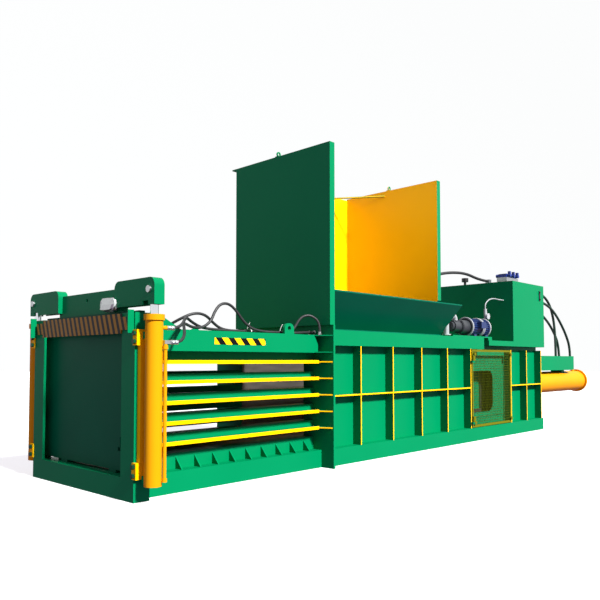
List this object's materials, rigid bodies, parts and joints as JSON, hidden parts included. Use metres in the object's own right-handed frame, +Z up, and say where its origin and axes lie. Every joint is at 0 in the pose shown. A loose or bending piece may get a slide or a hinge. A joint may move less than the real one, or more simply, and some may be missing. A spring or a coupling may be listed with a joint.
{
  "type": "horizontal recycling baler",
  "caption": "Horizontal baling press with lifting end gate, strap-slotted bale chamber, open hopper, guarded side window, power unit and long rear cylinder.",
  "frame": {"origin": "on the floor, on the centre plane, at the rear face of the joint flange between bale chamber and feed section", "axes": "+X along the press from the gate towards the main cylinder, +Y to the far side, +Z up"},
  "size_m": [12.269, 2.366, 3.742],
  "materials": {
    "green_paint": "gloss machine enamel",
    "yellow_paint": "gloss machine enamel",
    "hazard_stripes": "yellow and black slanted stripes",
    "worn_steel": "wear plate",
    "bare_steel": "machined and zinc plated",
    "chromed_rod": "hard chrome",
    "black_plastic": "moulded",
    "valve_blue": "painted casting",
    "motor_blue": "painted casting",
    "black_casting": "painted casting",
    "light_grey_paint": "painted pipe",
    "hose_rubber": "hydraulic hose cover"
  },
  "bodies": {
    "frame": {"chamber_base": "green_paint", "floor_plates": "worn_steel", "chamber_bars": "green_paint", "chamber_ribs": "green_paint", "chamber_beam_near": "green_paint", "chamber_beam_far": "green_paint", "chamber_roof": "green_paint", "joint_flange": "green_paint", "gate_frame": "green_paint", "hazard_board": "hazard_stripes", "gate_barrels": "yellow_paint", "gate_glands": "yellow_paint", "gate_guides": "yellow_paint", "gate_side_pipes": "yellow_paint", "hex_bolts": "bare_steel", "feed_base": "green_paint", "feed_wall_near": "green_paint", "feed_wall_far": "green_paint", "feed_liners": "worn_steel", "feed_beams": "green_paint", "rear_roof": "green_paint", "bulkhead": "green_paint", "fixed_blade": "bare_steel", "hopper_front_wall": "green_paint", "hopper_far_wall": "yellow_paint", "hopper_rear_wall": "yellow_paint", "hopper_chute": "green_paint", "main_barrel": "yellow_paint", "main_gland": "bare_steel", "hose_trough": "green_paint", "oil_tank": "green_paint", "tank_lid": "green_paint", "tank_frame": "green_paint", "tank_fittings": "black_plastic", "valve_block": "bare_steel", "solenoid_valves": "valve_blue", "motor_base": "green_paint", "motor_housing": "motor_blue", "hydraulic_pump": "black_casting", "pump_lines": "light_grey_paint", "hose_fittings": "bare_steel", "gate_hose_near_top": "hose_rubber", "gate_hose_near_foot": "hose_rubber", "gate_hose_far_top": "hose_rubber", "rear_hose_a": "hose_rubber", "rear_hose_b": "hose_rubber", "rear_hose_c": "hose_rubber", "tank_hose": "hose_rubber"},
    "gate": {"gate_panel": "green_paint", "gate_head": "green_paint", "gate_rods": "chromed_rod", "gate_pins": "bare_steel"},
    "ram": {"ram_box": "green_paint", "ram_platen": "worn_steel", "ram_blade": "bare_steel", "main_rod": "chromed_rod", "ram_pin": "bare_steel"},
    "rotor": {"motor_rotor": "bare_steel"},
    "guard": {"guard_frame": "yellow_paint", "guard_mesh": "yellow_paint"}
  },
  "joints": [
    {"name": "gate_lift", "type": "slide", "parent": "frame", "child": "gate", "axis": [0, 0, 1], "range_m": [0, 1.11]},
    {"name": "ram_stroke", "type": "slide", "parent": "frame", "child": "ram", "axis": [-1, 0, 0], "range_m": [0, 2.315]},
    {"name": "motor_shaft", "type": "hinge", "parent": "frame", "child": "rotor", "pos_m": [3.3, -0.72, 1.713], "axis": [1, 0, 0], "continuous": true},
    {"name": "guard_hinge", "type": "hinge", "parent": "frame", "child": "guard", "pos_m": [3.281, -0.914, 0.33], "axis": [0, 0, -1], "range_deg": [0, 110]}
  ]
}
